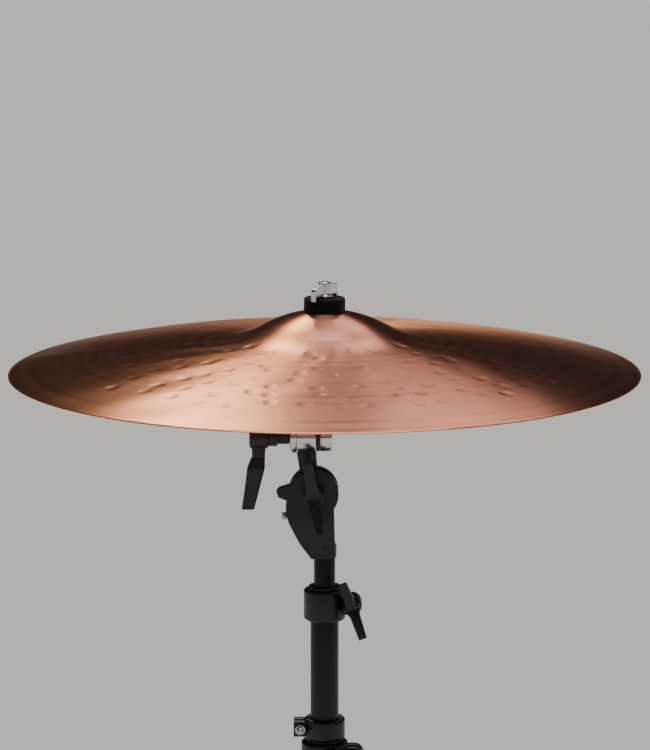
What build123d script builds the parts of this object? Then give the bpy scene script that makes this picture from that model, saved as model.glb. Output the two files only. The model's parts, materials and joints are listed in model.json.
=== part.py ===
from build123d import *
import os
from math import cos, radians, sin, sqrt

# A 22 inch hand-hammered ride cymbal on a height-adjustable tripod stand.
# Millimetres. Z is up, the floor is Z = 0 and the stand's tubes share the Z axis.
# The front view looks along +Y, with +X to the right.

# ---- driving dimensions: cymbal ------------------------------------------------
RIM_Z = 862.0  # plane of the cymbal's rim
CYMBAL_R = 279.4
CYMBAL_HOLE_R = 6.25
BELL_RISE = 53.7  # top of the bell above the rim
BELL_DOME_R = 117.0
BELL_FOOT_R = 71.2  # where the bell's dome meets the bow
BELL_FOOT_FILLET = 80.0
BOW_CROWN = 4.6  # how far the bow bulges above a straight cone
BELL_GAUGE = 1.5
EDGE_GAUGE = 0.9

# ---- driving dimensions: what holds the cymbal ---------------------------------
SOFT_GAP = 0.3  # kept between felts and whatever moves against them
FELT_R = 18.4
FELT_BORE_R = 5.7
TOP_FELT_TOP = RIM_Z + 65.0
BOTTOM_FELT_BASE = RIM_Z + 40.2
SLEEVE_R = 5.25
SLEEVE_BORE_R = 4.15
M8_R = 4.0
RUNNING_GAP = 0.05  # radial clearance of a pin that turns in its hole
ROD_R = 5.5
ROD_BASE = RIM_Z - 44.5
ROD_SHOULDER = RIM_Z + 36.2
ROD_TIP = RIM_Z + 79.0
SEAT_WASHER_R = 17.0
SEAT_WASHER_T = 2.0
WING_NUT_TOP = RIM_Z + 78.7

# ---- driving dimensions: tilter and drum joint ---------------------------------
TILT_Z = RIM_Z - 60.5  # tilter axis, which runs along X
TILT_R = 13.5
ROD_HALF_X = (-4.0, 6.7)
FIXED_HALF_X = (-25.0, -7.5)
DRUM_X = -9.7  # drum axis, which runs along Y
DRUM_Z = RIM_Z - 111.3
DRUM_R = 22.3
TANG_R = 19.5
TANG_T = 9.6
DRUM_HALF_W = 12.5
DRUM_SLOT_W = 11.2
CASTING_BASE = RIM_Z - 171.0

# ---- driving dimensions: tubes and clamps --------------------------------------
UPPER_R = 9.525
UPPER_WALL = 1.2
UPPER_BASE = RIM_Z - 549.0
MIDDLE_R = 12.7
MIDDLE_WALL = 1.4
MIDDLE_SPAN = (212.0, 662.0)
BASE_R = 15.0
BASE_WALL = 1.2
BASE_SPAN = (50.0, 520.0)
CLAMP_H = 28.0
CLAMP_WALL = 6.0
BUSHING_FLANGE = 3.0

# ---- driving dimensions: tripod ------------------------------------------------
LEG_AZIMUTHS = (-90.0, 30.0, 150.0)
PIVOT_R = 30.0  # leg and brace pivots, from the stand's axis
LEG_PIVOT_Z = 250.0
BRACE_PIVOT_Z = 60.0
LEG_SPREAD = 44.0  # each leg's lean from the vertical, opened out
LEG_FOLDED = 4.0
LEG_LENGTH = 333.8
LEG_W = 14.0
LEG_T = 2.5
LEG_INNER = 5.6  # inner face of each strip, from the leg's middle plane
BRACE_W = 11.0
BRACE_T = 2.0
BRACE_INNER = 3.3
BRACE_REACH = (LEG_PIVOT_Z - BRACE_PIVOT_Z) / 2 / cos(radians(LEG_SPREAD))
FOLD_TRAVEL = 2 * BRACE_REACH * (cos(radians(LEG_FOLDED)) - cos(radians(LEG_SPREAD)))

os.makedirs("parts", exist_ok=True)


def save(piece, name):
    """Label a finished piece and write it as its own STEP file."""
    piece.label = name
    export_step(piece, f"parts/{name}.step")


def bar(plane, radius, length, at=(0, 0), mode=Mode.ADD):
    """Add or cut a round bar that starts on the plane and runs along its normal."""
    with BuildSketch(plane) as disc:
        with Locations(at):
            Circle(radius)
    extrude(disc.sketch, amount=length, mode=mode)


def slab(plane, points, depth, mode=Mode.ADD, both=True):
    """Add, cut or keep a slab with a straight-sided outline drawn on the plane."""
    with BuildSketch(plane) as outline:
        with BuildLine():
            Polyline(*points, close=True)
        make_face()
    extrude(outline.sketch, amount=depth, both=both, mode=mode)


def ring(name, inner_r, outer_r, base_z, top_z, edge=0.0):
    """Make a plain ring on the Z axis, with its rim edges broken by a chamfer."""
    with BuildPart() as piece:
        with BuildSketch(Plane.XY.offset(base_z)):
            Circle(outer_r)
            Circle(inner_r, mode=Mode.SUBTRACT)
        extrude(amount=top_z - base_z)
        if edge:
            chamfer(piece.edges().filter_by(GeomType.CIRCLE).group_by(SortBy.RADIUS)[-1], edge)
    save(piece.part, name)


def dome_z(radius, dome_r):
    """Height of a sphere about the bell's centre, at a distance from the axis."""
    return RIM_Z + BELL_RISE - BELL_DOME_R + sqrt(dome_r**2 - radius**2)


# ---- cymbal ---------------------------------------------------------------------
UNDER_DOME_R = BELL_DOME_R - BELL_GAUGE
UNDER_FOOT_R = BELL_FOOT_R - BELL_GAUGE * 0.6
BOW_MID_R = (BELL_FOOT_R + CYMBAL_R) / 2
BOW_MID_Z = (dome_z(BELL_FOOT_R, BELL_DOME_R) + RIM_Z) / 2 + BOW_CROWN
BOW_MID_GAUGE = 1.2

with BuildPart() as cymbal:
    with BuildSketch(Plane.XZ) as section:
        with BuildLine():
            dome = ThreePointArc(
                (CYMBAL_HOLE_R, dome_z(CYMBAL_HOLE_R, BELL_DOME_R)),
                (BELL_FOOT_R / 2, dome_z(BELL_FOOT_R / 2, BELL_DOME_R)),
                (BELL_FOOT_R, dome_z(BELL_FOOT_R, BELL_DOME_R)),
            )
            bow = ThreePointArc(dome @ 1, (BOW_MID_R, BOW_MID_Z), (CYMBAL_R, RIM_Z))
            rim = Line(bow @ 1, (CYMBAL_R, RIM_Z - EDGE_GAUGE))
            under_bow = ThreePointArc(
                rim @ 1,
                (BOW_MID_R, BOW_MID_Z - BOW_MID_GAUGE),
                (UNDER_FOOT_R, dome_z(UNDER_FOOT_R, UNDER_DOME_R)),
            )
            under_dome = ThreePointArc(
                under_bow @ 1,
                (BELL_FOOT_R / 2, dome_z(BELL_FOOT_R / 2, UNDER_DOME_R)),
                (CYMBAL_HOLE_R, dome_z(CYMBAL_HOLE_R, UNDER_DOME_R)),
            )
            Line(under_dome @ 1, dome @ 0)
        make_face()
        feet = section.vertices().filter_by_position(Axis.X, BELL_FOOT_R - 5, BELL_FOOT_R + 5)
        fillet(feet, BELL_FOOT_FILLET)
    revolve(axis=Axis.Z)
save(cymbal.part, "cymbal")

# ---- felts, sleeve and washer ---------------------------------------------------
with BuildPart() as top_felt:
    with BuildSketch(Plane.XZ) as section:
        with BuildLine():
            seat = ThreePointArc(
                (FELT_BORE_R, dome_z(FELT_BORE_R, BELL_DOME_R + SOFT_GAP)),
                (FELT_R / 2, dome_z(FELT_R / 2, BELL_DOME_R + SOFT_GAP)),
                (FELT_R, dome_z(FELT_R, BELL_DOME_R + SOFT_GAP)),
            )
            Polyline(seat @ 1, (FELT_R, TOP_FELT_TOP), (FELT_BORE_R, TOP_FELT_TOP), seat @ 0)
        make_face()
        fillet(section.vertices().group_by(Axis.Y)[-1].sort_by(Axis.X)[-1], 1.5)
    revolve(axis=Axis.Z)
save(top_felt.part, "top_felt")

with BuildPart() as bottom_felt:
    with BuildSketch(Plane.XZ) as section:
        with BuildLine():
            crown = ThreePointArc(
                (FELT_BORE_R, dome_z(FELT_BORE_R, UNDER_DOME_R - SOFT_GAP)),
                (FELT_R / 2, dome_z(FELT_R / 2, UNDER_DOME_R - SOFT_GAP)),
                (FELT_R, dome_z(FELT_R, UNDER_DOME_R - SOFT_GAP)),
            )
            Polyline(
                crown @ 1, (FELT_R, BOTTOM_FELT_BASE), (FELT_BORE_R, BOTTOM_FELT_BASE), crown @ 0
            )
        make_face()
        fillet(section.vertices().group_by(Axis.Y)[0].sort_by(Axis.X)[-1], 1.5)
    revolve(axis=Axis.Z)
save(bottom_felt.part, "bottom_felt")

SEAT_TOP = ROD_SHOULDER + SEAT_WASHER_T
SLEEVE_FLANGE_T = 1.6

with BuildPart() as cymbal_sleeve:
    bar(Plane.XY.offset(SEAT_TOP), 12.0, SLEEVE_FLANGE_T)
    bar(Plane.XY.offset(SEAT_TOP), SLEEVE_R, TOP_FELT_TOP - SOFT_GAP - SEAT_TOP)
    bar(Plane.XY.offset(SEAT_TOP), SLEEVE_BORE_R, ROD_TIP - SEAT_TOP, mode=Mode.SUBTRACT)
save(cymbal_sleeve.part, "cymbal_sleeve")

ring("seat_washer", M8_R, SEAT_WASHER_R, ROD_SHOULDER, SEAT_TOP, edge=0.6)

# ---- wing nut on the rod's tip --------------------------------------------------
NUT_BASE = TOP_FELT_TOP + SOFT_GAP
NUT_H = WING_NUT_TOP - NUT_BASE
NUT_COLLAR_R = 7.8
NUT_HUB_R = 6.6
NUT_WING_HALF = 21.3
NUT_WING_T = 4.6
NUT_TIP_H = 9.2  # the wings arch down from the hub to their tips
NUT_LIP_R = 18.9  # beyond it the tips droop over the felt's edge
NUT_LIP_DROP = 2.4
NUT_TURN = 62.4  # the wings' direction about the rod

nut_way = Vector(cos(radians(NUT_TURN)), sin(radians(NUT_TURN)), 0)
nut_side = Plane((0, 0, NUT_BASE), x_dir=nut_way, z_dir=nut_way.cross(Vector(0, 0, 1)))

with BuildPart() as wing_nut:
    with BuildSketch(nut_side) as wings:
        with BuildLine():
            Polyline(
                (0, 2.2), (NUT_HUB_R, 1.8), (NUT_LIP_R, 0.6), (NUT_LIP_R + 0.2, -NUT_LIP_DROP),
                (NUT_WING_HALF, -NUT_LIP_DROP), (NUT_WING_HALF, NUT_TIP_H), (15.3, 10.5),
                (8.6, 11.9), (0, 12.2), close=True,
            )
        make_face()
        fillet(wings.vertices().group_by(Axis.X)[-1].sort_by(Axis.Y)[-1], 2.2)
        fillet(wings.vertices().group_by(Axis.X)[-1].sort_by(Axis.Y)[0], 1.0)
        mirror(about=Plane.YZ)
    extrude(amount=NUT_WING_T / 2, both=True)
    bar(Plane.XY.offset(NUT_BASE), NUT_COLLAR_R, 2.2)
    with BuildSketch(Plane.XY.offset(NUT_BASE)):
        Circle(NUT_HUB_R)
    extrude(amount=NUT_H, taper=3)
    bar(Plane.XY.offset(NUT_BASE), M8_R + RUNNING_GAP, NUT_H, mode=Mode.SUBTRACT)
save(wing_nut.part, "wing_nut")

# ---- cymbal rod -----------------------------------------------------------------
with BuildPart() as cymbal_rod:
    bar(Plane.XY.offset(ROD_BASE), ROD_R, ROD_SHOULDER - ROD_BASE)
    bar(Plane.XY.offset(ROD_SHOULDER), M8_R, ROD_TIP - ROD_SHOULDER)
    chamfer(cymbal_rod.edges().group_by(Axis.Z)[-1], 0.8)
save(cymbal_rod.part, "cymbal_rod")

# ---- tilter: the half that holds the rod ----------------------------------------
BOSS_R = 8.0
BOSS_TOP = RIM_Z - 28.0

with BuildPart() as tilter_head:
    bar(Plane.YZ.offset(ROD_HALF_X[0]), TILT_R, ROD_HALF_X[1] - ROD_HALF_X[0], at=(0, TILT_Z))
    chamfer(tilter_head.edges().filter_by(GeomType.CIRCLE), 0.8)
    with BuildSketch(Plane.XY.offset(TILT_Z)):
        with Locations(((ROD_HALF_X[0] + ROD_HALF_X[1]) / 2, 0)):
            Rectangle(ROD_HALF_X[1] - ROD_HALF_X[0], 2 * BOSS_R - 2)
    extrude(amount=ROD_BASE + 1.0 - TILT_Z)
    bar(Plane.XY.offset(ROD_BASE - 0.5), BOSS_R, BOSS_TOP - ROD_BASE + 0.5)
    chamfer(tilter_head.edges().group_by(Axis.Z)[-1], 1.2)
    bar(Plane.XY.offset(ROD_BASE), ROD_R, BOSS_TOP - ROD_BASE, mode=Mode.SUBTRACT)
    bar(Plane.YZ.offset(ROD_HALF_X[0]), M8_R, 20.0, at=(0, TILT_Z), mode=Mode.SUBTRACT)
save(tilter_head.part, "tilter_head")

# ---- the tilter's fixed half, and the knuckle that holds it on the drum joint ----
FIXED_R = 14.2
FIXED_W = FIXED_HALF_X[1] - FIXED_HALF_X[0]

with BuildPart() as tilter_base:
    bar(Plane.YZ.offset(FIXED_HALF_X[0]), FIXED_R, FIXED_W, at=(0, TILT_Z))
    chamfer(tilter_base.edges().filter_by(GeomType.CIRCLE), 0.8)
    bar(
        Plane.YZ.offset(FIXED_HALF_X[0]), M8_R + RUNNING_GAP, FIXED_W,
        at=(0, TILT_Z), mode=Mode.SUBTRACT,
    )
save(tilter_base.part, "tilter_base")

with BuildPart() as knuckle:
    slab(
        Plane.XZ,
        [(-24.5, TILT_Z), (-24.5, DRUM_Z + 36), (-23.2, DRUM_Z + 28), (-6.9, DRUM_Z + 28),
         (-7.5, DRUM_Z + 36), (-7.5, TILT_Z)],
        7.0,
    )
    slab(
        Plane.XZ,
        [(-24.5, TILT_Z), (-24.5, DRUM_Z + 36), (-22.0, DRUM_Z + 19.5), (-20.0, DRUM_Z),
         (-4.0, DRUM_Z), (-6.5, DRUM_Z + 19.5), (-7.5, DRUM_Z + 36), (-7.5, TILT_Z)],
        TANG_T / 2,
    )
    bar(Plane.XZ.offset(-TANG_T / 2), TANG_R, TANG_T, at=(DRUM_X, DRUM_Z))
    bar(Plane.YZ.offset(FIXED_HALF_X[0] - 1), FIXED_R, 30.0, at=(0, TILT_Z), mode=Mode.SUBTRACT)
    bar(Plane.XZ.offset(-10), M8_R + RUNNING_GAP, 20.0, at=(DRUM_X, DRUM_Z), mode=Mode.SUBTRACT)
save(knuckle.part, "knuckle")

# ---- tilter's friction washer, thrust washer, bolt and clamping lever ------------
LEVER_HUB_X = (-67.0, -50.0)
THRUST_X = (-30.6, -25.0)

with BuildPart() as tilter_washer:
    bar(Plane.YZ.offset(-7.4), 13.2, 3.3, at=(0, TILT_Z))
    bar(Plane.YZ.offset(-7.4), M8_R + RUNNING_GAP, 3.3, at=(0, TILT_Z), mode=Mode.SUBTRACT)
save(tilter_washer.part, "tilter_washer")

with BuildPart() as thrust_washer:
    bar(Plane.YZ.offset(THRUST_X[0]), 15.0, THRUST_X[1] - THRUST_X[0], at=(0, TILT_Z))
    chamfer(thrust_washer.edges().filter_by(GeomType.CIRCLE), 1.2)
    bar(Plane.YZ.offset(THRUST_X[0]), M8_R + RUNNING_GAP, 6.0, at=(0, TILT_Z), mode=Mode.SUBTRACT)
save(thrust_washer.part, "thrust_washer")

with BuildPart() as tilter_bolt:
    bar(Plane.YZ.offset(-56.0), M8_R, ROD_HALF_X[1] + 56.0, at=(0, TILT_Z))
save(tilter_bolt.part, "tilter_bolt")

with BuildPart() as lever_insert:
    bar(Plane.YZ.offset(-50.0), 8.75, 8.0, at=(0, TILT_Z))
    bar(Plane.YZ.offset(-42.0), 6.75, 11.2, at=(0, TILT_Z))
    bar(Plane.YZ.offset(-58.0), 6.0, 8.0, at=(0, TILT_Z))
    bar(Plane.YZ.offset(-56.2), M8_R + RUNNING_GAP, 26.0, at=(0, TILT_Z), mode=Mode.SUBTRACT)
    chamfer(lever_insert.faces().sort_by(Axis.X)[-1].outer_wire().edges(), 0.8)
save(lever_insert.part, "lever_insert")

with BuildPart() as clamp_lever:
    bar(Plane.YZ.offset(LEVER_HUB_X[0]), 10.5, LEVER_HUB_X[1] - LEVER_HUB_X[0], at=(0, TILT_Z))
    fillet(clamp_lever.edges().filter_by(GeomType.CIRCLE), 1.5)
    slab(
        Plane.XZ,
        [(-65.0, TILT_Z - 4), (-64.3, TILT_Z - 26), (-53.4, TILT_Z - 26), (-52.6, TILT_Z - 7)],
        4.5,
    )
    for depth, centre, width in (
        (19.5, -59.4, 12.4), (28.5, -61.2, 15.9), (47.0, -64.7, 13.4), (66.0, -68.5, 11.4),
    ):
        with BuildSketch(Plane.XY.offset(TILT_Z - depth)):
            with Locations((centre, 0)):
                RectangleRounded(width, width - 1.0, 2.8)
    loft(ruled=True)
    bar(Plane.YZ.offset(-58.0), 6.0, 8.0, at=(0, TILT_Z), mode=Mode.SUBTRACT)
    bar(Plane.YZ.offset(LEVER_HUB_X[0]), 2.5, 9.0, at=(0, TILT_Z), mode=Mode.SUBTRACT)
    bar(Plane.YZ.offset(LEVER_HUB_X[0]), 4.6, 2.4, at=(0, TILT_Z), mode=Mode.SUBTRACT)
save(clamp_lever.part, "clamp_lever")

with BuildPart() as lever_screw:
    bar(Plane.YZ.offset(LEVER_HUB_X[0] + 0.2), 4.3, 2.2, at=(0, TILT_Z))
    bar(Plane.YZ.offset(LEVER_HUB_X[0] + 0.2), 2.5, 8.8, at=(0, TILT_Z))
    bar(Plane.YZ.offset(LEVER_HUB_X[0]), 1.6, 1.6, at=(0, TILT_Z), mode=Mode.SUBTRACT)
save(lever_screw.part, "lever_screw")

# ---- drum joint: the casting on the upper tube -----------------------------------
SPIGOT_R = UPPER_R - UPPER_WALL
SPIGOT_L = 30.0
SLOT_FLOOR = DRUM_Z - TANG_R - 0.6
STOP_Z = DRUM_Z - 21.7
STOP_R = 2.0
PAD_R = 16.5
PAD_T = 0.7

with BuildPart() as drum_casting:
    bar(Plane.XZ.offset(-DRUM_HALF_W), DRUM_R, 2 * DRUM_HALF_W, at=(DRUM_X, DRUM_Z))
    slab(
        Plane.XZ,
        [(DRUM_X - 20, DRUM_Z), (-34.6, DRUM_Z - 9), (-34.6, DRUM_Z - 18.5),
         (-31.6, DRUM_Z - 27), (-22.6, DRUM_Z - 45), (-12.0, CASTING_BASE),
         (9.6, CASTING_BASE), (8.6, DRUM_Z - 15), (DRUM_X + 17, DRUM_Z)],
        DRUM_HALF_W,
    )
    slab(
        Plane.XZ.offset(TANG_T / 2 + 3.1),
        [(-29.0, DRUM_Z + 11.0), (-41.0, DRUM_Z + 7.0), (-43.2, DRUM_Z + 3.8),
         (-41.4, DRUM_Z - 2.2), (-35.5, DRUM_Z - 4.8), (-28.0, DRUM_Z - 6.0)],
        DRUM_HALF_W - TANG_T / 2 - 3.1,
        both=False,
    )
    for side in (1, -1):
        slab(
            Plane.YZ,
            [(side * DRUM_HALF_W, DRUM_Z - 26), (side * 9.2, CASTING_BASE),
             (side * 9.2, CASTING_BASE - 2), (side * 30, CASTING_BASE - 2),
             (side * 30, DRUM_Z - 26)],
            60.0,
            mode=Mode.SUBTRACT,
        )
    bar(Plane.XY.offset(CASTING_BASE), 10.8, 12.0)
    with BuildSketch(Plane.XY.offset(SLOT_FLOOR)):
        Rectangle(120, DRUM_SLOT_W)
    extrude(amount=60, mode=Mode.SUBTRACT)
    bar(Plane.XZ.offset(-20), M8_R + RUNNING_GAP, 40.0, at=(DRUM_X, DRUM_Z), mode=Mode.SUBTRACT)
    bar(Plane.YZ.offset(-36.0), STOP_R, 13.0, at=(0, STOP_Z), mode=Mode.SUBTRACT)
    bar(Plane.XY.offset(CASTING_BASE - SPIGOT_L), SPIGOT_R, SPIGOT_L + 1.0)
save(drum_casting.part, "drum_casting")

with BuildPart() as drum_pads:
    for inner_face in (TANG_T / 2 + 0.1, -DRUM_SLOT_W / 2):
        bar(Plane.XZ.offset(inner_face), PAD_R, PAD_T, at=(DRUM_X, DRUM_Z))
        bar(Plane.XZ.offset(inner_face), M8_R + 0.3, PAD_T, at=(DRUM_X, DRUM_Z), mode=Mode.SUBTRACT)
save(drum_pads.part, "drum_pads")

with BuildPart() as stop_screw:
    bar(Plane.YZ.offset(-38.0), 3.4, 3.4, at=(0, STOP_Z))
    bar(Plane.YZ.offset(-34.6), STOP_R, 11.0, at=(0, STOP_Z))
save(stop_screw.part, "stop_screw")


# ---- wing bolts -------------------------------------------------------------------
def wing_bolt(name, seat, half_span, shank_r, shank_l, hub_r=8.0, hub_h=14.0, reach=20.0):
    """Make a wing bolt whose hub stands on the seat plane; its wings lie along x_dir."""
    side = Plane(seat.origin, x_dir=seat.x_dir, z_dir=seat.y_dir)
    with BuildPart() as bolt:
        slab(
            side,
            [(0, -2.0), (hub_r, -3.0), (half_span - 2, 5.5 - reach), (half_span, 3.5 - reach),
             (half_span, -reach), (0, -hub_h), (-half_span, -reach), (-half_span, 3.5 - reach),
             (2 - half_span, 5.5 - reach), (-hub_r, -3.0)],
            hub_r,
        )
        slab(
            seat,
            [(0, 0.85 * hub_r), (hub_r, 0.62 * hub_r), (half_span, 3.6), (half_span, -3.6),
             (hub_r, -0.62 * hub_r), (0, -0.85 * hub_r), (-hub_r, -0.62 * hub_r),
             (-half_span, -3.6), (-half_span, 3.6), (-hub_r, 0.62 * hub_r)],
            2 * reach,
            mode=Mode.INTERSECT,
        )
        with BuildSketch(side) as hub:
            with BuildLine():
                Polyline((0, 0), (hub_r, 0), (hub_r, 1.0 - hub_h), (hub_r - 1.0, -hub_h),
                         (0, -hub_h), close=True)
            make_face()
        revolve(axis=Axis(seat.origin, seat.z_dir))
        bar(seat, shank_r, -shank_l)
    save(bolt.part, name)


def hex_nut(name, seat, across_flats, bore_r, height):
    """Make a hexagonal nut that stands on the seat plane."""
    with BuildPart() as nut:
        with BuildSketch(seat):
            RegularPolygon(across_flats / 2, 6, major_radius=False)
            Circle(bore_r, mode=Mode.SUBTRACT)
        extrude(amount=height)
    save(nut.part, name)


def turned(plane, angle):
    """Turn a seat plane about its own normal."""
    turn = radians(angle)
    return Plane(
        plane.origin, x_dir=plane.x_dir * cos(turn) + plane.y_dir * sin(turn), z_dir=plane.z_dir
    )


DRUM_BOLT_TURN = 100.0  # its wings stand almost upright
drum_front = Plane((DRUM_X, -DRUM_HALF_W - 0.3, DRUM_Z), x_dir=(1, 0, 0), z_dir=(0, -1, 0))
drum_back = Plane((DRUM_X, DRUM_HALF_W, DRUM_Z), x_dir=(1, 0, 0), z_dir=(0, 1, 0))
wing_bolt("drum_wing_bolt", turned(drum_front, DRUM_BOLT_TURN), 33.0, M8_R, 30.0, hub_r=9.0)
hex_nut("drum_nut", drum_back, 13.0, M8_R + RUNNING_GAP, 5.5)


# ---- tubes ------------------------------------------------------------------------
ring("upper_tube", UPPER_R - UPPER_WALL, UPPER_R, UPPER_BASE, CASTING_BASE)
ring("middle_tube", MIDDLE_R - MIDDLE_WALL, MIDDLE_R, *MIDDLE_SPAN)
ring("base_tube", BASE_R - BASE_WALL, BASE_R, *BASE_SPAN)


def bushing(name, bore_r, socket_r, flange_r, tube_top, depth):
    """Make a flanged plastic bushing that lines the top of a tube."""
    with BuildPart() as piece:
        bar(Plane.XY.offset(tube_top - depth), socket_r, depth)
        bar(Plane.XY.offset(tube_top), flange_r, BUSHING_FLANGE)
        chamfer(piece.edges().group_by(Axis.Z)[-1], 0.8)
        bar(Plane.XY.offset(tube_top - depth), bore_r, depth + BUSHING_FLANGE, mode=Mode.SUBTRACT)
    save(piece.part, name)


bushing("upper_bushing", UPPER_R + RUNNING_GAP, MIDDLE_R - MIDDLE_WALL, 14.5, MIDDLE_SPAN[1], 32)
bushing("lower_bushing", MIDDLE_R + RUNNING_GAP, BASE_R - BASE_WALL, 17.0, BASE_SPAN[1], 32)

# ---- height clamps: a split ring with two ears, drawn together by a wing bolt -------
EAR_HALF_Y = 9.0
EAR_SLOT = 2.0
M6_R = 3.0


def ear_bolt_x(tube_r):
    """Distance of a clamp's bolt from the stand's axis."""
    return tube_r + CLAMP_WALL + 6.3


def split_clamp(name, tube_r, top_z):
    """Make a split clamp with its ears towards +X and its bolt along Y."""
    bolt_x = ear_bolt_x(tube_r)
    middle = top_z - CLAMP_H / 2
    with BuildPart() as clamp:
        bar(Plane.XY.offset(top_z - CLAMP_H), tube_r + CLAMP_WALL, CLAMP_H)
        chamfer(clamp.edges().filter_by(GeomType.CIRCLE), 1.5)
        with BuildSketch(Plane.XZ) as ear:
            with Locations((bolt_x, middle)):
                Circle(8.5)
            with Locations((bolt_x / 2, middle)):
                Rectangle(bolt_x, 17.0)
        extrude(amount=EAR_HALF_Y, both=True)
        bar(Plane.XY.offset(top_z - CLAMP_H), tube_r, CLAMP_H, mode=Mode.SUBTRACT)
        with BuildSketch(Plane.XY.offset(top_z - CLAMP_H)):
            with Locations((tube_r + 20, 0)):
                Rectangle(40 + CLAMP_WALL, EAR_SLOT)
        extrude(amount=CLAMP_H, mode=Mode.SUBTRACT)
        bar(
            Plane.XZ.offset(-EAR_HALF_Y), M6_R + RUNNING_GAP, 2 * EAR_HALF_Y,
            at=(bolt_x, middle), mode=Mode.SUBTRACT,
        )
    save(clamp.part, name)


def height_clamp(name, tube_r, top_z, bolt_turn):
    """Make a split clamp with its wing bolt in front and its nut behind."""
    bolt_x = ear_bolt_x(tube_r)
    middle = top_z - CLAMP_H / 2
    front = Plane((bolt_x, -EAR_HALF_Y - 0.3, middle), x_dir=(1, 0, 0), z_dir=(0, -1, 0))
    back = Plane((bolt_x, EAR_HALF_Y, middle), x_dir=(1, 0, 0), z_dir=(0, 1, 0))
    split_clamp(name, tube_r, top_z)
    wing_bolt(f"{name}_bolt", turned(front, bolt_turn), 27.0, M6_R, 2 * EAR_HALF_Y + 5.5,
              hub_r=7.0, hub_h=13.0, reach=20.0)
    hex_nut(f"{name}_nut", back, 10.0, M6_R + RUNNING_GAP, 5.0)


height_clamp("upper_clamp", MIDDLE_R, MIDDLE_SPAN[1], -70.0)
height_clamp("lower_clamp", BASE_R, BASE_SPAN[1], -25.0)

# ---- memory lock: a ring that marks the middle tube's height ------------------------
LOCK_BASE = BASE_SPAN[1] + BUSHING_FLANGE + 0.2
LOCK_H = 18.0
LOCK_BOLT_X = -22.0
LOCK_MIDDLE = LOCK_BASE + LOCK_H / 2

with BuildPart() as memory_lock:
    bar(Plane.XY.offset(LOCK_BASE), 18.5, LOCK_H)
    chamfer(memory_lock.edges().filter_by(GeomType.CIRCLE), 1.2)
    with BuildSketch(Plane.XY.offset(LOCK_BASE + 2)):
        with Locations((LOCK_BOLT_X / 2 - 3, 0)):
            Rectangle(-LOCK_BOLT_X + 6, 16)
    extrude(amount=LOCK_H - 4)
    bar(Plane.XY.offset(LOCK_BASE), MIDDLE_R, LOCK_H, mode=Mode.SUBTRACT)
    with BuildSketch(Plane.XY.offset(LOCK_BASE)):
        with Locations((-25, 0)):
            Rectangle(30, EAR_SLOT)
    extrude(amount=LOCK_H, mode=Mode.SUBTRACT)
    bar(Plane.XZ.offset(-8), M6_R, 16, at=(LOCK_BOLT_X, LOCK_MIDDLE), mode=Mode.SUBTRACT)
save(memory_lock.part, "memory_lock")

with BuildPart() as key_bolt:
    bar(Plane.XZ.offset(8), 4.8, 2.0, at=(LOCK_BOLT_X, LOCK_MIDDLE))
    bar(Plane.XZ.offset(-8), M6_R, 16, at=(LOCK_BOLT_X, LOCK_MIDDLE))
    with BuildSketch(Plane.XZ.offset(10)):
        with Locations((LOCK_BOLT_X, LOCK_MIDDLE)):
            Rectangle(4.6, 4.6, rotation=20)
    extrude(amount=6)
save(key_bolt.part, "key_bolt")


# ---- tripod -------------------------------------------------------------------------
def leg_plane(azimuth):
    """Middle plane of one leg: x outwards from the stand's axis, y up, z sideways."""
    outward = (cos(radians(azimuth)), sin(radians(azimuth)), 0)
    sideways = (sin(radians(azimuth)), -cos(radians(azimuth)), 0)
    return Plane((0, 0, 0), x_dir=outward, z_dir=sideways)


def along_leg(distance):
    """Point on a leg's middle line, as radius and height."""
    lean = radians(LEG_SPREAD)
    return (PIVOT_R + distance * sin(lean), LEG_PIVOT_Z - distance * cos(lean))


def strips(plane, start, end, width, inner, thickness, mode=Mode.ADD):
    """Add or cut a pair of flat strips between two points of a leg's plane."""
    middle = ((start[0] + end[0]) / 2, (start[1] + end[1]) / 2)
    run = Vector(end[0] - start[0], end[1] - start[1])
    for offset, sense in ((inner, 1), (-inner, -1)):
        with BuildSketch(plane.offset(offset)) as strip:
            with Locations(Location(middle, run.get_angle(Vector(1, 0)) * (-1 if run.Y < 0 else 1))):
                SlotCenterToCenter(run.length, width)
        extrude(strip.sketch, amount=sense * thickness, mode=mode)


def cross_bar(plane, at, radius, half_width, mode=Mode.ADD):
    """Add or cut a round bar across a leg's plane."""
    bar(plane.offset(-half_width), radius, 2 * half_width, at=at, mode=mode)


LEG_TOP = along_leg(0)
LEG_FOOT = along_leg(LEG_LENGTH)
BRACE_TOP = along_leg(BRACE_REACH)
BRACE_FOOT = (PIVOT_R, BRACE_PIVOT_Z)
LEG_OUTER = LEG_INNER + LEG_T
PIVOT_PIN_R = 3.0
RIVET_R = 2.5
RIVET_HEAD = 1.4
FOOT_HALF_W = 11.5

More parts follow.
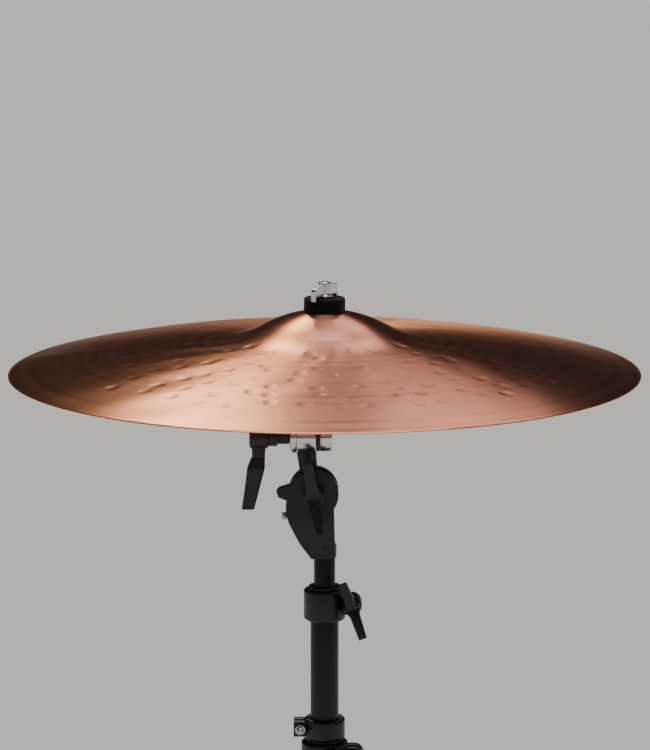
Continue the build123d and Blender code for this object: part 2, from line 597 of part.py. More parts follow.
for index, azimuth in enumerate(LEG_AZIMUTHS, start=1):
    middle_plane = leg_plane(azimuth)

    with BuildPart() as leg:
        strips(middle_plane, LEG_TOP, LEG_FOOT, LEG_W, LEG_INNER, LEG_T)
        cross_bar(middle_plane, along_leg(0.82 * LEG_LENGTH), 3.5, LEG_INNER)
        cross_bar(middle_plane, LEG_FOOT, 3.5, LEG_INNER)
        cross_bar(middle_plane, LEG_TOP, PIVOT_PIN_R + RUNNING_GAP, 20, mode=Mode.SUBTRACT)
        cross_bar(middle_plane, BRACE_TOP, RIVET_R, 20, mode=Mode.SUBTRACT)
    save(leg.part, f"leg_{index}")

    with BuildPart() as foot:
        with BuildSketch(middle_plane) as boot:
            with Locations(LEG_FOOT):
                Circle(12.5)
            with BuildLine():
                Polyline(
                    along_leg(LEG_LENGTH - 26), LEG_FOOT, (LEG_FOOT[0] + 4, 0),
                    (LEG_FOOT[0] - 20, 0), close=True,
                )
            make_face()
        extrude(amount=FOOT_HALF_W, both=True)
        strips(middle_plane, along_leg(LEG_LENGTH - 30), LEG_FOOT, 2 * 11.0, 0.0, LEG_OUTER + 2.5)
        with BuildSketch(Plane.XY):
            Rectangle(800, 800)
        extrude(amount=-40, mode=Mode.SUBTRACT)
        strips(middle_plane, LEG_TOP, LEG_FOOT, LEG_W, LEG_INNER, LEG_T, mode=Mode.SUBTRACT)
        cross_bar(middle_plane, LEG_FOOT, 3.5, LEG_INNER, mode=Mode.SUBTRACT)
        cross_bar(middle_plane, along_leg(0.82 * LEG_LENGTH), 3.5, LEG_INNER, mode=Mode.SUBTRACT)
    save(foot.part, f"foot_{index}")

    with BuildPart() as brace:
        strips(middle_plane, BRACE_TOP, BRACE_FOOT, BRACE_W, BRACE_INNER, BRACE_T)
        brace_middle = ((BRACE_TOP[0] + BRACE_FOOT[0]) / 2, (BRACE_TOP[1] + BRACE_FOOT[1]) / 2)
        cross_bar(middle_plane, brace_middle, 3.0, BRACE_INNER)
        cross_bar(middle_plane, BRACE_TOP, RIVET_R + RUNNING_GAP, 20, mode=Mode.SUBTRACT)
        cross_bar(middle_plane, BRACE_FOOT, PIVOT_PIN_R, 20, mode=Mode.SUBTRACT)
    save(brace.part, f"brace_{index}")

    with BuildPart() as brace_rivet:
        cross_bar(middle_plane, BRACE_TOP, RIVET_R, LEG_OUTER)
        for side in (LEG_OUTER, -LEG_OUTER - RIVET_HEAD):
            bar(middle_plane.offset(side), 4.5, RIVET_HEAD, at=BRACE_TOP)
    save(brace_rivet.part, f"brace_rivet_{index}")


def eared_collar(name, base_z, top_z, outer_r, ear_half_w, pivot_z, ear_r):
    """Make a collar on the base tube with an ear for each leg."""
    with BuildPart() as collar:
        bar(Plane.XY.offset(base_z), outer_r, top_z - base_z)
        chamfer(collar.edges().filter_by(GeomType.CIRCLE), 1.5)
        for azimuth in LEG_AZIMUTHS:
            with BuildSketch(leg_plane(azimuth)) as ear:
                with Locations((PIVOT_R, pivot_z)):
                    Circle(ear_r)
                with Locations((PIVOT_R / 2 + 4, pivot_z)):
                    Rectangle(PIVOT_R - 8, 2 * ear_r)
            extrude(amount=ear_half_w, both=True)
            bar(
                leg_plane(azimuth).offset(-ear_half_w), PIVOT_PIN_R, 2 * ear_half_w,
                at=(PIVOT_R, pivot_z), mode=Mode.SUBTRACT,
            )
        bar(Plane.XY.offset(base_z), BASE_R, top_z - base_z, mode=Mode.SUBTRACT)
        if name == "leg_collar":
            bar(collar_bolt_seat.offset(-16), M6_R + RUNNING_GAP, 16, mode=Mode.SUBTRACT)
    save(collar.part, name)


COLLAR_BOLT_AZIMUTH = -30.0
COLLAR_SPAN = (LEG_PIVOT_Z - 10, LEG_PIVOT_Z + 22)
COLLAR_R = 22.0
bolt_way = Vector(cos(radians(COLLAR_BOLT_AZIMUTH)), sin(radians(COLLAR_BOLT_AZIMUTH)), 0)
collar_bolt_seat = Plane(
    bolt_way * (COLLAR_R + 0.3) + Vector(0, 0, COLLAR_SPAN[1] - 10), x_dir=(0, 0, 1), z_dir=bolt_way
)
eared_collar("leg_collar", *COLLAR_SPAN, COLLAR_R, LEG_INNER - 0.3, LEG_PIVOT_Z, 7.0)
eared_collar("lower_collar", BASE_SPAN[0], BRACE_PIVOT_Z + 12, 20.0, BRACE_INNER - 0.3,
             BRACE_PIVOT_Z, 6.0)
wing_bolt("leg_collar_bolt", turned(collar_bolt_seat, 70), 24.0, M6_R, COLLAR_R - BASE_R,
          hub_r=6.5, hub_h=11.0, reach=15.0)

with BuildPart() as leg_pivot_pins:
    for azimuth in LEG_AZIMUTHS:
        cross_bar(leg_plane(azimuth), LEG_TOP, PIVOT_PIN_R, LEG_OUTER + 0.1)
        for side in (LEG_OUTER + 0.1, -LEG_OUTER - 0.1 - RIVET_HEAD):
            bar(leg_plane(azimuth).offset(side), 5.0, RIVET_HEAD, at=LEG_TOP)
save(leg_pivot_pins.part, "leg_pivot_pins")

with BuildPart() as brace_end_pins:
    for azimuth in LEG_AZIMUTHS:
        cross_bar(leg_plane(azimuth), BRACE_FOOT, PIVOT_PIN_R, BRACE_INNER - 0.3)
save(brace_end_pins.part, "brace_end_pins")

with BuildPart() as end_cap:
    bar(Plane.XY.offset(BASE_SPAN[0] - 4), BASE_R + 1.0, 4.0)
    chamfer(end_cap.edges().group_by(Axis.Z)[0], 1.5)
    bar(Plane.XY.offset(BASE_SPAN[0]), BASE_R - BASE_WALL, 12.0)
save(end_cap.part, "end_cap")

print(f"fold travel {FOLD_TRAVEL:.2f} mm, brace reach {BRACE_REACH:.2f} mm")
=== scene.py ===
import json
import math
import random

import bmesh
import bpy
import numpy as np
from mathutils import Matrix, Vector, noise


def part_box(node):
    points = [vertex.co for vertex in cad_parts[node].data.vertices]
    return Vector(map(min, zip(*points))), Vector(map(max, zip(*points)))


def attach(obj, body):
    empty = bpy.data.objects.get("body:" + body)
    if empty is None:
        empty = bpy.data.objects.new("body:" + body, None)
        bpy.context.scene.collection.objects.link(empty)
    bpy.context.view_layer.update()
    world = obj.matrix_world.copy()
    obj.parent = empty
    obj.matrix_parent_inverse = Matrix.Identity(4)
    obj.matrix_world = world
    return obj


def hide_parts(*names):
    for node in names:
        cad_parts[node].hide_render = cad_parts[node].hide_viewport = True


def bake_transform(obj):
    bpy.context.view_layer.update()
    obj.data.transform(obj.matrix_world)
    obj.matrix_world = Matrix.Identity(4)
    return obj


# Looks of a hand-hammered ride cymbal on its stand: metres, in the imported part's frame.

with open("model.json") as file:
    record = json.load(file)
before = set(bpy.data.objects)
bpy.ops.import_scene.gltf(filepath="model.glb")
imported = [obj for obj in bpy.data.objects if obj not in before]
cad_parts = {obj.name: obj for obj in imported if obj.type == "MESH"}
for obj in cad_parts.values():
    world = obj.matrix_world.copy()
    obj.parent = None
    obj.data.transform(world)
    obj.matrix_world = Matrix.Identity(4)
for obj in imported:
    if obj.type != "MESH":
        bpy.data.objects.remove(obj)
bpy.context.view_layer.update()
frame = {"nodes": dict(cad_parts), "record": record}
MM = 0.001
slot_of = {s["node"]: s["material_slot"] for s in frame["record"]["subparts"]}

# ---- places read from the frame --------------------------------------------------
CYMBAL_LOW, CYMBAL_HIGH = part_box("cymbal")
CYMBAL_R = CYMBAL_HIGH.x
EDGE_GAUGE = 0.9 * MM
RIM_Z = CYMBAL_LOW.z + EDGE_GAUGE
ROD_LOW, ROD_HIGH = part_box("cymbal_rod")

# ---- the cymbal's own section, the same as the CAD part's ------------------------
HOLE_R = 6.25 * MM
BELL_RISE = 53.7 * MM
DOME_R = 117.0 * MM
BELL_FOOT_R = 71.2 * MM
FOOT_FILLET = 80.0 * MM
BOW_CROWN = 4.6 * MM
BELL_GAUGE = 1.5 * MM


# ---- small mesh tools --------------------------------------------------------------
WELD = 0.002 * MM
FLAT_ANGLE = math.radians(0.6)
HARD_ANGLE = math.radians(28)
SHARP_ANGLE = math.radians(35)
SOFT_SEGMENTS = 2


def new_object(name, mesh):
    """Link a mesh to the scene as an object at the origin."""
    piece = bpy.data.objects.new(name, mesh)
    bpy.context.scene.collection.objects.link(piece)
    return piece


def mesh_from(name, points, faces, sharp_angle=None):
    """Make a smooth-shaded mesh, with sharp edges only above the angle."""
    mesh = bpy.data.meshes.new(name)
    mesh.from_pydata(points, [], faces)
    mesh.update()
    mesh.shade_smooth()
    if sharp_angle:
        mesh.set_sharp_from_angle(angle=math.radians(sharp_angle))
    return mesh


def stand_in(piece, node):
    """Let a detailed piece stand for a CAD node, on the same body."""
    bodies = frame["record"]["behaviour"]["bodies"]
    body = next(b for b, nodes in bodies.items() if node in nodes)
    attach(piece, body)
    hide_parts(node)
    return piece


def welded(node):
    """A CAD node's mesh, open for editing, with its doubled vertices joined."""
    bm = bmesh.new()
    bm.from_mesh(frame["nodes"][node].data)
    bmesh.ops.remove_doubles(bm, verts=bm.verts, dist=WELD)
    return bm


def softened(node, width):
    """Copy a CAD node with its hard edges rounded over."""
    bm = welded(node)
    bmesh.ops.dissolve_limit(bm, angle_limit=FLAT_ANGLE, verts=bm.verts, edges=bm.edges)
    hard = [
        e for e in bm.edges
        if len(e.link_faces) == 2 and e.calc_face_angle(0) > HARD_ANGLE
    ]
    bmesh.ops.bevel(
        bm, geom=hard, offset=width, offset_type="OFFSET", segments=SOFT_SEGMENTS,
        profile=0.5, affect="EDGES", clamp_overlap=True,
    )
    mesh = bpy.data.meshes.new(f"{node}_soft")
    bm.to_mesh(mesh)
    bm.free()
    mesh.shade_smooth()
    mesh.set_sharp_from_angle(angle=SHARP_ANGLE)
    return stand_in(new_object(f"{node}_finished", mesh), node)


def cast(node, voxel, rounds):
    """Copy a CAD node as a casting: smoothing over a voxel grid blends its edges."""
    piece = new_object(f"{node}_cast", bpy.data.meshes.new(f"{node}_cast"))
    bm = welded(node)
    bm.to_mesh(piece.data)
    bm.free()
    remesh = piece.modifiers.new("remesh", "REMESH")
    remesh.mode = "VOXEL"
    remesh.voxel_size = voxel
    smooth = piece.modifiers.new("smooth", "SMOOTH")
    smooth.factor = 0.5
    smooth.iterations = rounds
    bake_modifiers(piece)
    piece.data.shade_smooth()
    return stand_in(piece, node)


def bake_modifiers(piece):
    """Replace an object's mesh with its modified one."""
    depsgraph = bpy.context.evaluated_depsgraph_get()
    final = bpy.data.meshes.new_from_object(piece.evaluated_get(depsgraph))
    piece.modifiers.clear()
    piece.data = final


# ---- shader tools ------------------------------------------------------------------
def material(name, color, roughness, metallic=0.0):
    """Make a Principled material; returns the material, its tree and its shader."""
    made = bpy.data.materials.new(name)
    made.use_nodes = True
    shader = made.node_tree.nodes["Principled BSDF"]
    shader.inputs["Base Color"].default_value = (*color, 1.0)
    shader.inputs["Roughness"].default_value = roughness
    shader.inputs["Metallic"].default_value = metallic
    return made, made.node_tree, shader


def add(tree, kind, links=None, **values):
    """Add a shader node, set it up by socket or setting name, and link its inputs."""
    node = tree.nodes.new(f"ShaderNode{kind}")
    for key, value in values.items():
        if hasattr(node, key):
            setattr(node, key, value)
        else:
            node.inputs[key.replace("_", " ")].default_value = value
    for socket, source in (links or {}).items():
        tree.links.new(source, node.inputs[socket])
    return node


def blend(tree, factor, low, high):
    """Mix two colours by a factor socket."""
    node = add(tree, "Mix", data_type="RGBA")
    tree.links.new(factor, node.inputs["Factor"])
    node.inputs["A"].default_value = (*low, 1.0)
    node.inputs["B"].default_value = (*high, 1.0)
    return node.outputs["Result"]


def spread(tree, value, low, high, from_low=0.0, from_high=1.0):
    """Map a value socket from one range to another."""
    node = add(tree, "MapRange", {"Value": value})
    node.inputs["From Min"].default_value = from_low
    node.inputs["From Max"].default_value = from_high
    node.inputs["To Min"].default_value = low
    node.inputs["To Max"].default_value = high
    return node.outputs["Result"]


def grain(tree, where, scale, detail=3.0, roughness=0.6):
    """Noise over the object's own coordinates."""
    return add(
        tree, "TexNoise", {"Vector": where}, Scale=scale, Detail=detail, Roughness=roughness
    ).outputs["Fac"]


def relief(tree, shader, height, depth, strength):
    """Give a shader a bump from a height socket, of a real depth in metres."""
    bump = add(tree, "Bump", {"Height": height}, Strength=strength, Distance=depth)
    tree.links.new(bump.outputs["Normal"], shader.inputs["Normal"])


PAINTED_DENT_SHADE = 0.70  # painted shade: how bright a dent's wall stays, darkened in colour to stand in for the shading on its slope


def bronze_material():
    """Lathed bronze: fine circular grooves stretch each highlight into a fan."""
    made, tree, shader = material("bronze", (0.80, 0.46, 0.34), 0.3, 1.0)
    shader.inputs["Anisotropic"].default_value = 0.85
    shader.inputs["Anisotropic Rotation"].default_value = 0.25
    where = add(tree, "TexCoord").outputs["Object"]
    flat = add(tree, "VectorMath", {0: where}, operation="MULTIPLY")
    flat.inputs[1].default_value = (1, 1, 0)
    radius = add(tree, "VectorMath", {0: flat.outputs["Vector"]}, operation="LENGTH")
    radius = radius.outputs["Value"]
    bands = add(tree, "TexNoise", {"W": radius}, noise_dimensions="1D", Scale=130.0, Detail=6.0)
    patina = grain(tree, where, 14.0, 4.0)
    tone = add(tree, "Math", {0: bands.outputs["Fac"], 1: patina}, operation="ADD")
    tone = spread(tree, tone.outputs["Value"], 0.0, 1.0, 0.7, 1.3)
    color = blend(tree, tone, (0.80, 0.320, 0.215), (0.92, 0.425, 0.300))
    # painted shade: the base colour darkens on the dents' walls, standing in for the shading
    # their slopes catch
    painted_wall_shade = add(tree, "Attribute", attribute_name="dent_wall_painted_shade").outputs["Fac"]
    color = add(
        tree, "HueSaturation", {"Color": color, "Value": spread(tree, painted_wall_shade, 1.0, PAINTED_DENT_SHADE)}
    ).outputs["Color"]
    tree.links.new(color, shader.inputs["Base Color"])
    rough = spread(tree, bands.outputs["Fac"], 0.30, 0.325, 0.3, 0.7)
    tree.links.new(rough, shader.inputs["Roughness"])
    tangent = add(tree, "Tangent", direction_type="RADIAL", axis="Z")
    tree.links.new(tangent.outputs["Tangent"], shader.inputs["Tangent"])
    return made


def chrome_material():
    """Satin chrome with faint smears and a slight ripple."""
    made, tree, shader = material("chrome", (0.78, 0.78, 0.80), 0.08, 1.0)
    where = add(tree, "TexCoord").outputs["Object"]
    smears = grain(tree, where, 90.0, 5.0)
    tree.links.new(spread(tree, smears, 0.17, 0.27, 0.35, 0.7), shader.inputs["Roughness"])
    relief(tree, shader, grain(tree, where, 700.0, 2.0), 0.01 * MM, 0.15)
    return made


def steel_material():
    """Zinc-plated steel, slightly mottled."""
    made, tree, shader = material("steel", (0.50, 0.50, 0.52), 0.32, 1.0)
    where = add(tree, "TexCoord").outputs["Object"]
    mottle = grain(tree, where, 260.0, 4.0)
    tree.links.new(blend(tree, mottle, (0.42, 0.42, 0.44), (0.60, 0.60, 0.61)),
                   shader.inputs["Base Color"])
    tree.links.new(spread(tree, mottle, 0.25, 0.42, 0.3, 0.7), shader.inputs["Roughness"])
    relief(tree, shader, grain(tree, where, 1500.0, 2.0), 0.02 * MM, 0.4)
    return made


def powder_coat_material():
    """Satin black powder coat with orange peel and duller scuffs."""
    made, tree, shader = material("black_metal", (0.012, 0.011, 0.012), 0.4)
    where = add(tree, "TexCoord").outputs["Object"]
    peel = grain(tree, where, 1100.0, 2.0)
    scuffs = grain(tree, where, 65.0, 8.0, 0.7)
    tree.links.new(blend(tree, spread(tree, scuffs, 0.0, 1.0, 0.55, 0.8),
                         (0.010, 0.0095, 0.010), (0.030, 0.028, 0.028)),
                   shader.inputs["Base Color"])
    tree.links.new(spread(tree, scuffs, 0.30, 0.52, 0.3, 0.75), shader.inputs["Roughness"])
    relief(tree, shader, peel, 0.04 * MM, 0.5)
    return made


def plastic_material():
    """Moulded black nylon with a fine spark-eroded texture."""
    made, tree, shader = material("black_plastic", (0.014, 0.014, 0.015), 0.42)
    where = add(tree, "TexCoord").outputs["Object"]
    tree.links.new(spread(tree, grain(tree, where, 120.0), 0.34, 0.52, 0.3, 0.7),
                   shader.inputs["Roughness"])
    relief(tree, shader, grain(tree, where, 1800.0, 2.0), 0.03 * MM, 0.6)
    return made


def rubber_material():
    """Moulded black rubber, dusty in patches."""
    made, tree, shader = material("rubber", (0.016, 0.015, 0.015), 0.75)
    where = add(tree, "TexCoord").outputs["Object"]
    dust = grain(tree, where, 70.0, 6.0, 0.7)
    tree.links.new(blend(tree, spread(tree, dust, 0.0, 1.0, 0.5, 0.8),
                         (0.014, 0.013, 0.013), (0.045, 0.041, 0.038)),
                   shader.inputs["Base Color"])
    relief(tree, shader, grain(tree, where, 1400.0, 2.0), 0.04 * MM, 0.6)
    return made


def felt_material():
    """Pressed black wool: matted fibres with a soft sheen."""
    made, tree, shader = material("felt", (0.010, 0.009, 0.010), 0.95)
    shader.inputs["Specular IOR Level"].default_value = 0.2
    shader.inputs["Sheen Weight"].default_value = 0.12
    shader.inputs["Sheen Roughness"].default_value = 0.5
    where = add(tree, "TexCoord").outputs["Object"]
    fibres = grain(tree, where, 1900.0, 5.0, 0.75)
    tufts = grain(tree, where, 420.0, 4.0)
    tree.links.new(blend(tree, tufts, (0.003, 0.0027, 0.003), (0.014, 0.0125, 0.013)),
                   shader.inputs["Base Color"])
    relief(tree, shader, fibres, 0.15 * MM, 0.8)
    return made


def fibre_material():
    """Dark friction fibre, speckled."""
    made, tree, shader = material("fibre", (0.035, 0.028, 0.024), 0.85)
    where = add(tree, "TexCoord").outputs["Object"]
    specks = grain(tree, where, 900.0, 3.0)
    tree.links.new(blend(tree, spread(tree, specks, 0.0, 1.0, 0.5, 0.62),
                         (0.022, 0.018, 0.016), (0.11, 0.085, 0.065)),
                   shader.inputs["Base Color"])
    relief(tree, shader, specks, 0.05 * MM, 0.5)
    return made


# ---- cymbal ------------------------------------------------------------------------
def circle_through(a, b, c):
    """Centre and radius of the circle through three points of the section."""
    (ax, ay), (bx, by), (cx, cy) = a, b, c
    rows = np.array([[bx - ax, by - ay], [cx - ax, cy - ay]]) * 2
    sums = np.array([bx**2 + by**2 - ax**2 - ay**2, cx**2 + cy**2 - ax**2 - ay**2])
    centre = np.linalg.solve(rows, sums)
    return centre, float(np.hypot(*(np.array(a) - centre)))


def bronze_profile():
    """Height of the cymbal's top face above the rim, as a function of radius."""
    dome = np.array([0.0, BELL_RISE - DOME_R])
    foot_z = dome[1] + math.sqrt(DOME_R**2 - BELL_FOOT_R**2)
    middle = ((BELL_FOOT_R + CYMBAL_R) / 2, foot_z / 2 + BOW_CROWN)
    bow, bow_r = circle_through((BELL_FOOT_R, foot_z), middle, (CYMBAL_R, 0.0))
    near, far = DOME_R + FOOT_FILLET, bow_r + FOOT_FILLET
    across = bow - dome
    gap = float(np.hypot(*across))
    along = (near**2 - far**2 + gap**2) / (2 * gap)
    rise = math.sqrt(near**2 - along**2)
    unit = across / gap
    sideways = np.array([-unit[1], unit[0]])
    fillet = max(
        (dome + unit * along + sideways * rise * side for side in (1, -1)), key=lambda p: p[0]
    )
    start = (dome + (fillet - dome) * DOME_R / near)[0]
    end = (bow + (fillet - bow) * bow_r / far)[0]

    def height(radius):
        radius = np.asarray(radius, float)
        on_dome = dome[1] + np.sqrt(np.maximum(DOME_R**2 - radius**2, 0))
        on_bow = bow[1] + np.sqrt(np.maximum(bow_r**2 - (radius - bow[0]) ** 2, 0))
        hollow = fillet[1] - np.sqrt(np.maximum(FOOT_FILLET**2 - (radius - fillet[0]) ** 2, 0))
        return np.where(radius < start, on_dome, np.where(radius > end, on_bow, hollow))

    return height


HAMMER_ROWS = (84 * MM, 228 * MM)
HAMMER_ROW_STEP = 20.0 * MM
HAMMER_STEP = 31.0 * MM
DENT_SIZES = (5.6 * MM, 7.4 * MM)
DENT_DEPTHS = (0.12 * MM, 0.34 * MM)
ALONG_ROW = 0.32  # how far a dent strays along its row, in steps of the hammer
ACROSS_ROW = 0.35  # and across it, in steps between rows


def hammer_marks(radii, angles):
    """Depth of the hammer's dents, and the painted shade darkening their walls, over a polar
    grid of the bow.
    """
    draw = random.Random(22)
    depth = np.zeros((len(radii), len(angles)))
    painted_wall_shade = np.zeros_like(depth)
    row_r = HAMMER_ROWS[0]
    while row_r < HAMMER_ROWS[1]:
        count = int(2 * math.pi * row_r / HAMMER_STEP)
        start = draw.uniform(0, 2 * math.pi)
        for k in range(count):
            around = start + 2 * math.pi * (k + draw.uniform(-ALONG_ROW, ALONG_ROW)) / count
            out = row_r + draw.uniform(-ACROSS_ROW, ACROSS_ROW) * HAMMER_ROW_STEP
            size = draw.uniform(*DENT_SIZES)
            deep = draw.uniform(*DENT_DEPTHS)
            rings = np.nonzero(np.abs(radii - out) < size)[0]
            if not len(rings):
                continue
            away = (angles - around + math.pi) % (2 * math.pi) - math.pi
            spokes = np.nonzero(np.abs(away) * out < size)[0]
            square = ((radii[rings, None] - out) ** 2
                      + (away[None, spokes] * radii[rings, None]) ** 2) / size**2
            bowl = np.where(square < 1, 1 - square**2, 0) ** 2  # flat at the bottom
            here = np.ix_(rings, spokes)
            depth[here] += deep * bowl
            painted_shade_here = 3.2 * bowl * (1 - bowl) + 0.25 * bowl  # painted shade, most halfway down the wall
            painted_wall_shade[here] = np.maximum(painted_wall_shade[here], painted_shade_here * deep / DENT_DEPTHS[1])
        row_r += HAMMER_ROW_STEP
    return depth, painted_wall_shade


WAVES = 26
WAVE_TURNS = (3, 26)
WAVES_PER_METRE = (3, 16)
WAVE_HEIGHTS = (0.02 * MM, 0.05 * MM)
WAVES_START, WAVES_FULL, WAVES_FADE = 66 * MM, 96 * MM, 12 * MM


def waviness(radii, angles):
    """Slow unevenness that hammering leaves in the sheet, gone at the bell and the rim."""
    draw = random.Random(7)
    wave = np.zeros((len(radii), len(angles)))
    for _ in range(WAVES):
        turns = draw.randint(*WAVE_TURNS)
        per_metre = draw.uniform(*WAVES_PER_METRE)
        shift = draw.uniform(0, 2 * math.pi)
        amplitude = draw.uniform(*WAVE_HEIGHTS)
        wave += amplitude * np.sin(
            turns * angles[None, :] + 2 * math.pi * per_metre * radii[:, None] + shift
        )
    from_bell = np.clip((radii - WAVES_START) / (WAVES_FULL - WAVES_START), 0, 1)
    from_rim = np.clip((CYMBAL_R - radii) / WAVES_FADE, 0, 1)
    return wave * (from_bell * from_rim)[:, None]


# the mesh's rings: wide on the bell, close where the dents are, closer at the rim
SPOKES = 720
BELL_END = 80 * MM
DENTS_END = 232 * MM
RIM_START = 249 * MM
EDGE_ROUND = 0.25 * MM
EDGE_FACE = (-0.2 * MM, -0.7 * MM)  # heights of the rim's upright face, from the rim's top
TOP_RINGS = np.concatenate([
    np.linspace(HOLE_R, BELL_END, 16),
    np.arange(BELL_END + 2 * MM, DENTS_END, 1.7 * MM),
    np.linspace(DENTS_END + 3 * MM, RIM_START - 3 * MM, 4),
    np.linspace(RIM_START, CYMBAL_R - EDGE_ROUND, 9),
])
UNDER_RINGS = np.concatenate([
    np.linspace(CYMBAL_R - EDGE_ROUND, BELL_END + 4 * MM, 9), np.linspace(BELL_END, HOLE_R, 8)
])


def cymbal():
    """The bronze itself: hammered, lathed, and closed round its hole and its rim."""
    height = bronze_profile()
    angles = np.arange(SPOKES) * 2 * math.pi / SPOKES
    gauge = BELL_GAUGE + (EDGE_GAUGE - BELL_GAUGE) * np.clip(UNDER_RINGS / CYMBAL_R, 0, 1)
    dents, painted_wall_shade = hammer_marks(TOP_RINGS, angles)
    top_z = height(TOP_RINGS)[:, None] - dents + waviness(TOP_RINGS, angles)
    under_z = height(UNDER_RINGS)[:, None] - gauge[:, None] + waviness(UNDER_RINGS, angles)
    edge_r = np.array([CYMBAL_R, CYMBAL_R])
    edge_z = np.array(EDGE_FACE)[:, None] + np.zeros((2, SPOKES))
    rings_r = np.concatenate([TOP_RINGS, edge_r, UNDER_RINGS])
    rings_z = np.concatenate([top_z, edge_z, under_z]) + RIM_Z
    x = rings_r[:, None] * np.cos(angles)
    y = rings_r[:, None] * np.sin(angles)
    points = np.stack([x, y, rings_z], axis=-1).reshape(-1, 3)
    count = len(rings_r)
    faces = []
    for ring in range(count):
        after = (ring + 1) % count
        for spoke in range(SPOKES):
            beside = (spoke + 1) % SPOKES
            faces.append((ring * SPOKES + spoke, after * SPOKES + spoke,
                          after * SPOKES + beside, ring * SPOKES + beside))
    mesh = mesh_from("cymbal_bronze", points.tolist(), faces, sharp_angle=50)
    # painted shade on the dents' walls, kept on the mesh for the bronze's colour
    painted_dent_shade = np.zeros(len(points), np.float32)
    painted_dent_shade[:painted_wall_shade.size] = painted_wall_shade.ravel()
    mesh.attributes.new("dent_wall_painted_shade", "FLOAT", "POINT").data.foreach_set("value", painted_dent_shade)
    mesh.materials.append(bronze)
    stand_in(new_object("cymbal_bronze", mesh), "cymbal")


# ---- felts ---------------------------------------------------------------------------
FELT_VOXEL = 0.42 * MM
FELT_ROUNDS = 4
FELT_BORE_R = 5.7 * MM
BORE_WEAR = 0.55 * MM
BORE_FADE = 1.6 * MM
TUFTS_PER_METRE, TUFT_DEPTH = 1500, 0.06 * MM
LUMPS_PER_METRE, LUMP_DEPTH = 240, 0.10 * MM
SKIN_SINK = 0.06 * MM  # keeps the tufts inside the CAD felt
NOISE_SHIFT = 40
FELT_SEEDS = {"top_felt": 3, "bottom_felt": 5}


def felt(node, seed):
    """A felt disc: rounded by wear, bore too, with a matted, slightly uneven skin."""
    piece = cast(node, FELT_VOXEL, FELT_ROUNDS)
    draw = random.Random(seed)
    shifts = [
        Vector([draw.uniform(-NOISE_SHIFT, NOISE_SHIFT) for _ in range(3)]) for _ in range(2)
    ]
    normals = [v.normal.copy() for v in piece.data.vertices]
    for vertex, normal in zip(piece.data.vertices, normals):
        tuft = noise.noise(vertex.co * TUFTS_PER_METRE + shifts[0])
        lump = noise.noise(vertex.co * LUMPS_PER_METRE + shifts[1])
        vertex.co -= normal * (SKIN_SINK + TUFT_DEPTH * tuft + LUMP_DEPTH * abs(lump))
        outward = Vector((vertex.co.x, vertex.co.y, 0))
        worn = BORE_WEAR * max(0.0, 1 - (outward.length - FELT_BORE_R) / BORE_FADE)
        vertex.co += outward.normalized() * worn
    piece.data.materials.clear()
    piece.data.materials.append(black_felt)
    return piece


def rocking_felts():
    """The two felts, made, then freed from their body and fixed where they sit."""
    for node, seed in FELT_SEEDS.items():
        piece = felt(node, seed)
        piece.parent = None
        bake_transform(piece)


# ---- threaded rod ----------------------------------------------------------------------
M8_PITCH = 1.25 * MM
M8_DEPTH = 0.72 * MM
STEPS_PER_PITCH = 7
ROD_SIDES = 48
SHANK_CHAMFER = 0.5 * MM
TIP_CHAMFER = 0.7 * MM
TIP_FADE = 0.8 * MM


def ring_points(radii, z):
    """The points of one ring of the rod, with a radius for each side."""
    turns = [2 * math.pi * side / ROD_SIDES for side in range(ROD_SIDES)]
    return [(r * math.cos(turn), r * math.sin(turn), z) for r, turn in zip(radii, turns)]


def rod():
    """The cymbal rod: a plain shank, a shoulder, and a real M8 thread above it."""
    plain_r = ROD_HIGH.x
    thread_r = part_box("tilter_bolt")[1].y
    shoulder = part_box("seat_washer")[0].z
    tip = ROD_HIGH.z
    shank = (
        (ROD_LOW.z, plain_r - SHANK_CHAMFER), (ROD_LOW.z + SHANK_CHAMFER, plain_r),
        (shoulder - SHANK_CHAMFER, plain_r), (shoulder, plain_r - SHANK_CHAMFER),
    )
    rings = [ring_points([radius] * ROD_SIDES, z) for z, radius in shank]
    steps = int((tip - shoulder) / M8_PITCH * STEPS_PER_PITCH)
    for step in range(steps + 1):
        z = shoulder + (tip - shoulder) * step / steps
        crest = thread_r - TIP_CHAMFER * (1 - min(1.0, (tip - z) / TIP_FADE))
        radii = []
        for side in range(ROD_SIDES):
            phase = (z / M8_PITCH - side / ROD_SIDES) % 1.0
            ridge = min(1.0, max(0.0, 1.25 - 2.5 * abs(phase - 0.5)))
            radii.append(min(crest, thread_r - M8_DEPTH * (1 - ridge)))
        rings.append(ring_points(radii, z))
    faces = [tuple(reversed(range(ROD_SIDES)))]
    for ring in range(len(rings) - 1):
        for side in range(ROD_SIDES):
            beside = (side + 1) % ROD_SIDES
            faces.append((ring * ROD_SIDES + side, ring * ROD_SIDES + beside,
                          (ring + 1) * ROD_SIDES + beside, (ring + 1) * ROD_SIDES + side))
    faces.append(tuple(range((len(rings) - 1) * ROD_SIDES, len(rings) * ROD_SIDES)))
    points = [point for ring in rings for point in ring]
    mesh = mesh_from("cymbal_rod_threaded", points, faces, sharp_angle=40)
    mesh.materials.append(chrome)
    stand_in(new_object("cymbal_rod_threaded", mesh), "cymbal_rod")


# ---- stage, light and camera ---------------------------------------------------------
# name, direction it comes from, energy, angular size in degrees, colour
SOFT_LIGHTS = (
    ("left_key", (-0.66, 3.0, 2.7), 0.30, 9.0, (1.0, 0.89, 0.54)),
    ("left_back", (-0.68, 3.0, 2.8), 0.28, 16.0, (1.0, 0.88, 0.60)),
    ("right_back", (0.88, 3.0, 3.1), 0.24, 17.0, (1.0, 0.84, 0.75)),
    ("fill", (0.2, -1.0, 5.5), 1.9, 50.0, (1.0, 1.0, 1.0)),
)
FLOOR_NEAR, FLOOR_FAR = -40, 60


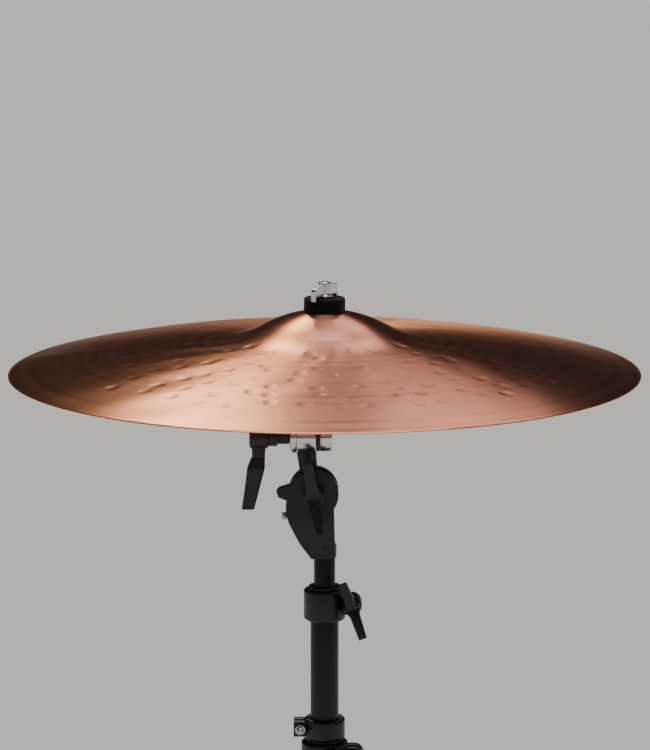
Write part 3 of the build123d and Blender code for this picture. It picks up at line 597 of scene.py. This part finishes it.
def stage():
    """A plain pale floor, soft lights behind the object and a broad soft fill above it."""
    corners = [
        (FLOOR_NEAR, FLOOR_NEAR, 0), (-FLOOR_NEAR, FLOOR_NEAR, 0),
        (-FLOOR_NEAR, FLOOR_FAR, 0), (FLOOR_NEAR, FLOOR_FAR, 0),
    ]
    floor = new_object("floor", mesh_from("floor", corners, [(0, 1, 2, 3)]))
    pale, _, _ = material("pale_floor", (0.80, 0.79, 0.785), 0.9)
    floor.data.materials.append(pale)
    world = bpy.data.worlds.new("studio")
    bpy.context.scene.world = world
    world.use_nodes = True
    background = world.node_tree.nodes["Background"]
    background.inputs["Color"].default_value = (0.80, 0.70, 0.76, 1)
    background.inputs["Strength"].default_value = 0.02
    for name, place, energy, width, tint in SOFT_LIGHTS:
        light = bpy.data.lights.new(name, "SUN")
        light.energy = energy
        light.angle = math.radians(width)
        light.color = tint
        lamp = bpy.data.objects.new(name, light)
        bpy.context.scene.collection.objects.link(lamp)
        aim(lamp, Vector(place), Vector((0, 0, 0)))


def aim(thing, place, target):
    """Put a light or camera somewhere and point it at a target."""
    thing.location = place
    thing.rotation_euler = (target - place).to_track_quat("-Z", "Y").to_euler()


CAMERA_SIDE = 0.0004
CAMERA_OUT = 2.459
CAMERA_RISE = 0.451
AIM_DROP = 0.0048
LENS = 135.24
SENSOR = 36.0
CLIP_END = 200.0


def camera():
    """Long lens, about ten degrees above the rim's plane."""
    data = bpy.data.cameras.new("camera")
    data.lens = LENS
    data.sensor_width = SENSOR
    data.clip_end = CLIP_END
    thing = bpy.data.objects.new("camera", data)
    bpy.context.scene.collection.objects.link(thing)
    aim(thing, Vector((CAMERA_SIDE, -CAMERA_OUT, RIM_Z + CAMERA_RISE)),
        Vector((CAMERA_SIDE, 0.0, RIM_Z - AIM_DROP)))
    bpy.context.scene.camera = thing


# ---- the scene -------------------------------------------------------------------------
bronze = bronze_material()
chrome = chrome_material()
black_felt = felt_material()
finishes = {
    "bronze": bronze, "chrome": chrome, "felt": black_felt, "steel": steel_material(),
    "black_metal": powder_coat_material(), "black_plastic": plastic_material(),
    "rubber": rubber_material(), "fibre": fibre_material(),
}

camera()
stage()
cymbal()
rocking_felts()
rod()

SPECIAL = ("cymbal", "top_felt", "bottom_felt", "cymbal_rod")
EDGE_WIDTH = 0.35 * MM
# size of the voxels that blend each casting's edges, and rounds of smoothing
CAST = {
    "wing_nut": (0.25 * MM, 30), "drum_wing_bolt": (0.45 * MM, 6), "clamp_lever": (0.5 * MM, 6),
    "drum_casting": (0.6 * MM, 6),
}
for node in sorted(frame["nodes"]):
    if node in SPECIAL:
        continue
    piece = cast(node, *CAST[node]) if node in CAST else softened(node, EDGE_WIDTH)
    piece.data.materials.clear()
    piece.data.materials.append(finishes[slot_of[node]])
